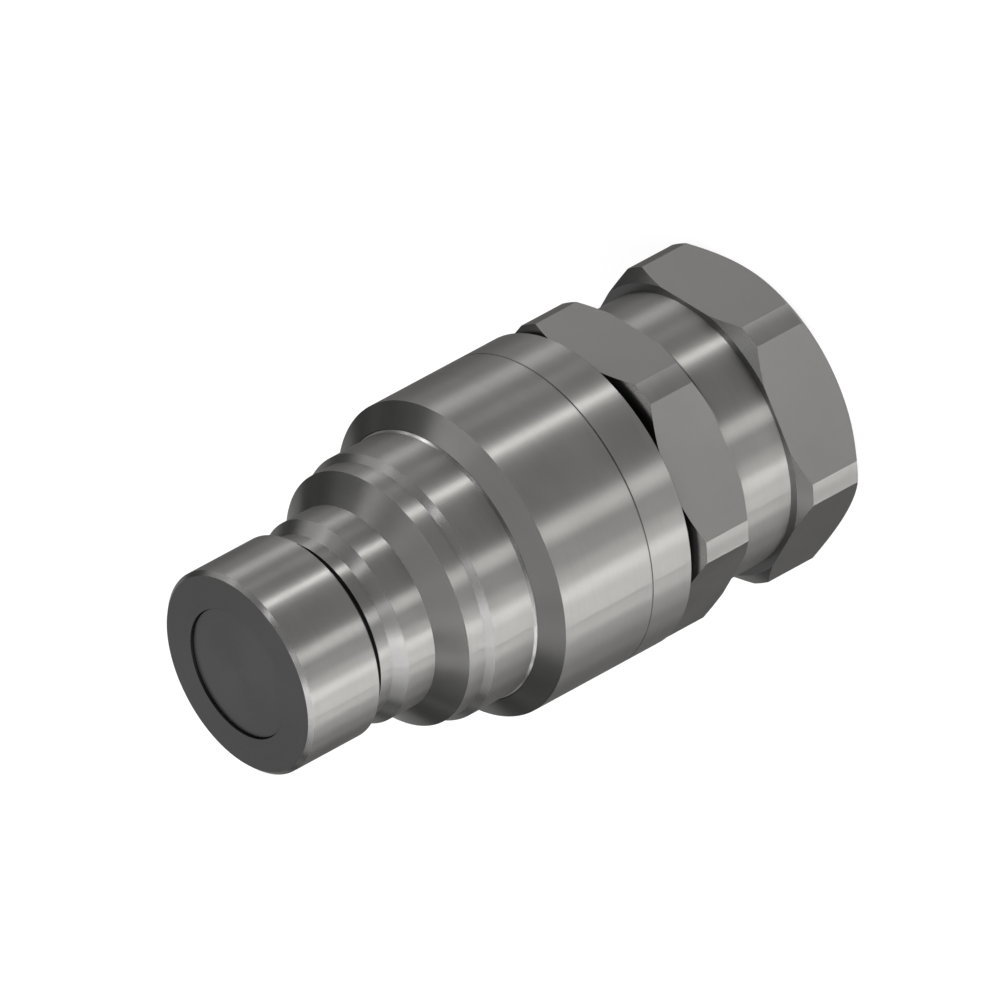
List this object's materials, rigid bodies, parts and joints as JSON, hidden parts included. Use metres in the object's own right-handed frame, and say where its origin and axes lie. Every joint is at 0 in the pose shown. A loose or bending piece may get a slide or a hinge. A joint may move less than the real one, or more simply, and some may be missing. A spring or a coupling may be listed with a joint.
{
  "type": "flat face coupling",
  "caption": "Male half of a flat face hydraulic quick coupling: sealed nose with a push-in poppet, barrel, two wrench hexagons and a threaded port.",
  "frame": {"origin": "centre of the rear face, which the part stands on", "axes": "+Z along the axis, out of the nose; the hexagons' corners point along X and two of their flats face Y"},
  "size_m": [0.0382, 0.038, 0.0755],
  "materials": {
    "body_steel": "turned, plated, satin",
    "poppet_steel": "finely faced",
    "guide_steel": "turned",
    "spring_steel": "drawn wire and stamped sheet",
    "seal_rubber": "moulded, satin",
    "backup_plastic": "cut, matt"
  },
  "bodies": {
    "housing": {"nose_body": "body_steel", "barrel_sleeve": "body_steel", "main_body": "body_steel", "rear_adaptor": "body_steel", "main_spring": "spring_steel", "valve_guide": "guide_steel", "guide_retaining_ring": "spring_steel", "nose_o_ring": "seal_rubber", "nose_backup_ring": "backup_plastic", "adaptor_o_ring": "seal_rubber", "adaptor_backup_ring": "backup_plastic", "relief_housing": "guide_steel", "housing_o_ring": "seal_rubber", "relief_spring": "spring_steel", "relief_guide": "guide_steel", "relief_retaining_ring": "spring_steel"},
    "poppet": {"poppet_head": "poppet_steel", "poppet_stem": "poppet_steel", "poppet_seal": "seal_rubber"},
    "relief": {"relief_valve": "guide_steel", "relief_seal": "seal_rubber"}
  },
  "joints": [
    {"name": "poppet_slide", "type": "slide", "parent": "housing", "child": "poppet", "axis": [0, 0, -1], "range_m": [0, 0.007], "stiffness_N_per_m": 5000, "springref_m": -0.003, "deforming": ["main_spring"]},
    {"name": "relief_slide", "type": "slide", "parent": "housing", "child": "relief", "axis": [0, 0, -1], "range_m": [0, 0.007], "stiffness_N_per_m": 2500, "springref_m": -0.002, "deforming": ["relief_spring"]}
  ],
  "couplings": [
    {"joint": "relief_slide", "follows": "poppet_slide", "ratio": 1}
  ]
}
